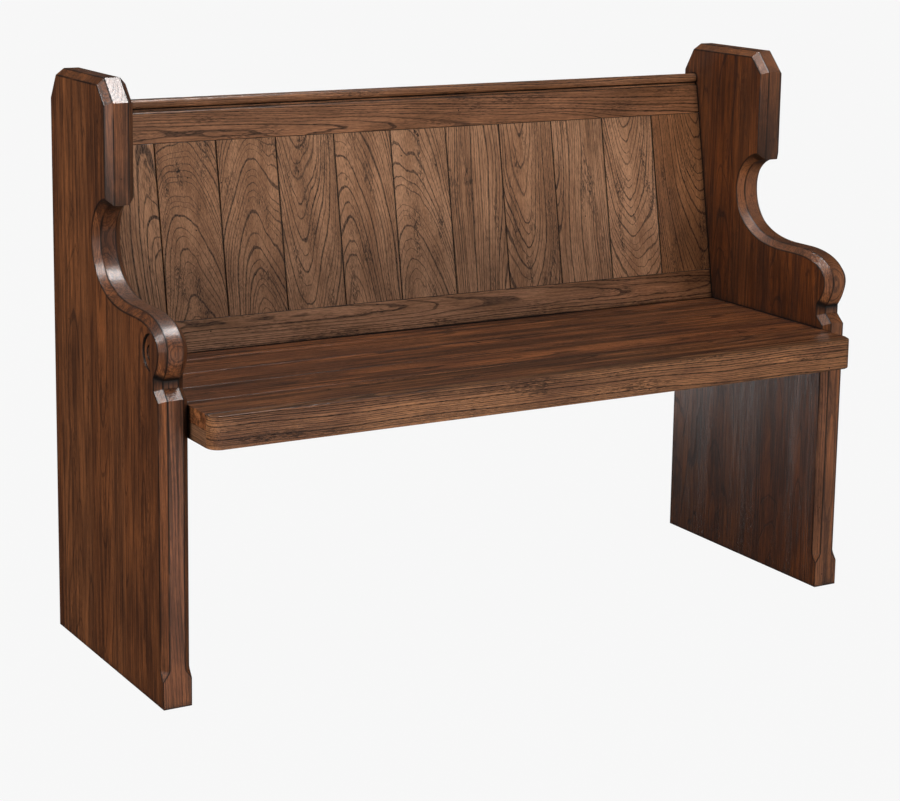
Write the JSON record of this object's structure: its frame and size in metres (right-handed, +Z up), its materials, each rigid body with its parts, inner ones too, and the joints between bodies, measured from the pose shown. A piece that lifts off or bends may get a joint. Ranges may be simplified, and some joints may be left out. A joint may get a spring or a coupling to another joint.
{
  "type": "church pew",
  "caption": "Dark-stained oak church pew with shaped, chamfered end panels, a raked matchboard back between rails and a plank seat with a deep front lipping.",
  "frame": {"origin": "centre of the footprint, on the floor under the end panels' feet", "axes": "+X along the pew towards the sitter's left, +Y from the seat's front towards the back, +Z up"},
  "size_m": [1.28, 0.503, 0.92],
  "materials": {
    "end_panel_oak": "dark walnut stain under satin lacquer, open vertical grain",
    "back_board_oak": "dark walnut stain under satin lacquer, coarse cathedral grain",
    "back_rail_oak": "dark walnut stain under satin lacquer, straight grain along the rail",
    "seat_oak": "dark walnut stain under satin lacquer, worn along the front edge",
    "under_seat_oak": "thin brown stain, sawn and planed, unlacquered",
    "screw_steel": "dulled zinc"
  },
  "bodies": {
    "root": {"back_board_01": "back_board_oak", "back_board_02": "back_board_oak", "back_board_03": "back_board_oak", "back_board_04": "back_board_oak", "back_board_05": "back_board_oak", "back_board_06": "back_board_oak", "back_board_07": "back_board_oak", "back_board_08": "back_board_oak", "back_board_09": "back_board_oak", "back_board_10": "back_board_oak", "back_board_11": "back_board_oak", "back_bottom_rail": "back_rail_oak", "back_cap_rail": "back_rail_oak", "back_top_rail": "back_rail_oak", "cleat_screw_left_1": "screw_steel", "cleat_screw_left_2": "screw_steel", "cleat_screw_left_3": "screw_steel", "cleat_screw_right_1": "screw_steel", "cleat_screw_right_2": "screw_steel", "cleat_screw_right_3": "screw_steel", "end_panel_left": "end_panel_oak", "end_panel_right": "end_panel_oak", "seat_bearer_left": "under_seat_oak", "seat_bearer_right": "under_seat_oak", "seat_board_1": "seat_oak", "seat_board_2": "seat_oak", "seat_board_3": "seat_oak", "seat_board_4": "seat_oak", "seat_board_5": "seat_oak", "seat_cleat_left": "under_seat_oak", "seat_cleat_right": "under_seat_oak", "seat_nosing": "seat_oak", "seat_rear_rail": "under_seat_oak", "seat_screw_left_1": "screw_steel", "seat_screw_left_2": "screw_steel", "seat_screw_left_3": "screw_steel", "seat_screw_left_4": "screw_steel", "seat_screw_right_1": "screw_steel", "seat_screw_right_2": "screw_steel", "seat_screw_right_3": "screw_steel", "seat_screw_right_4": "screw_steel"}
  },
  "joints": []
}
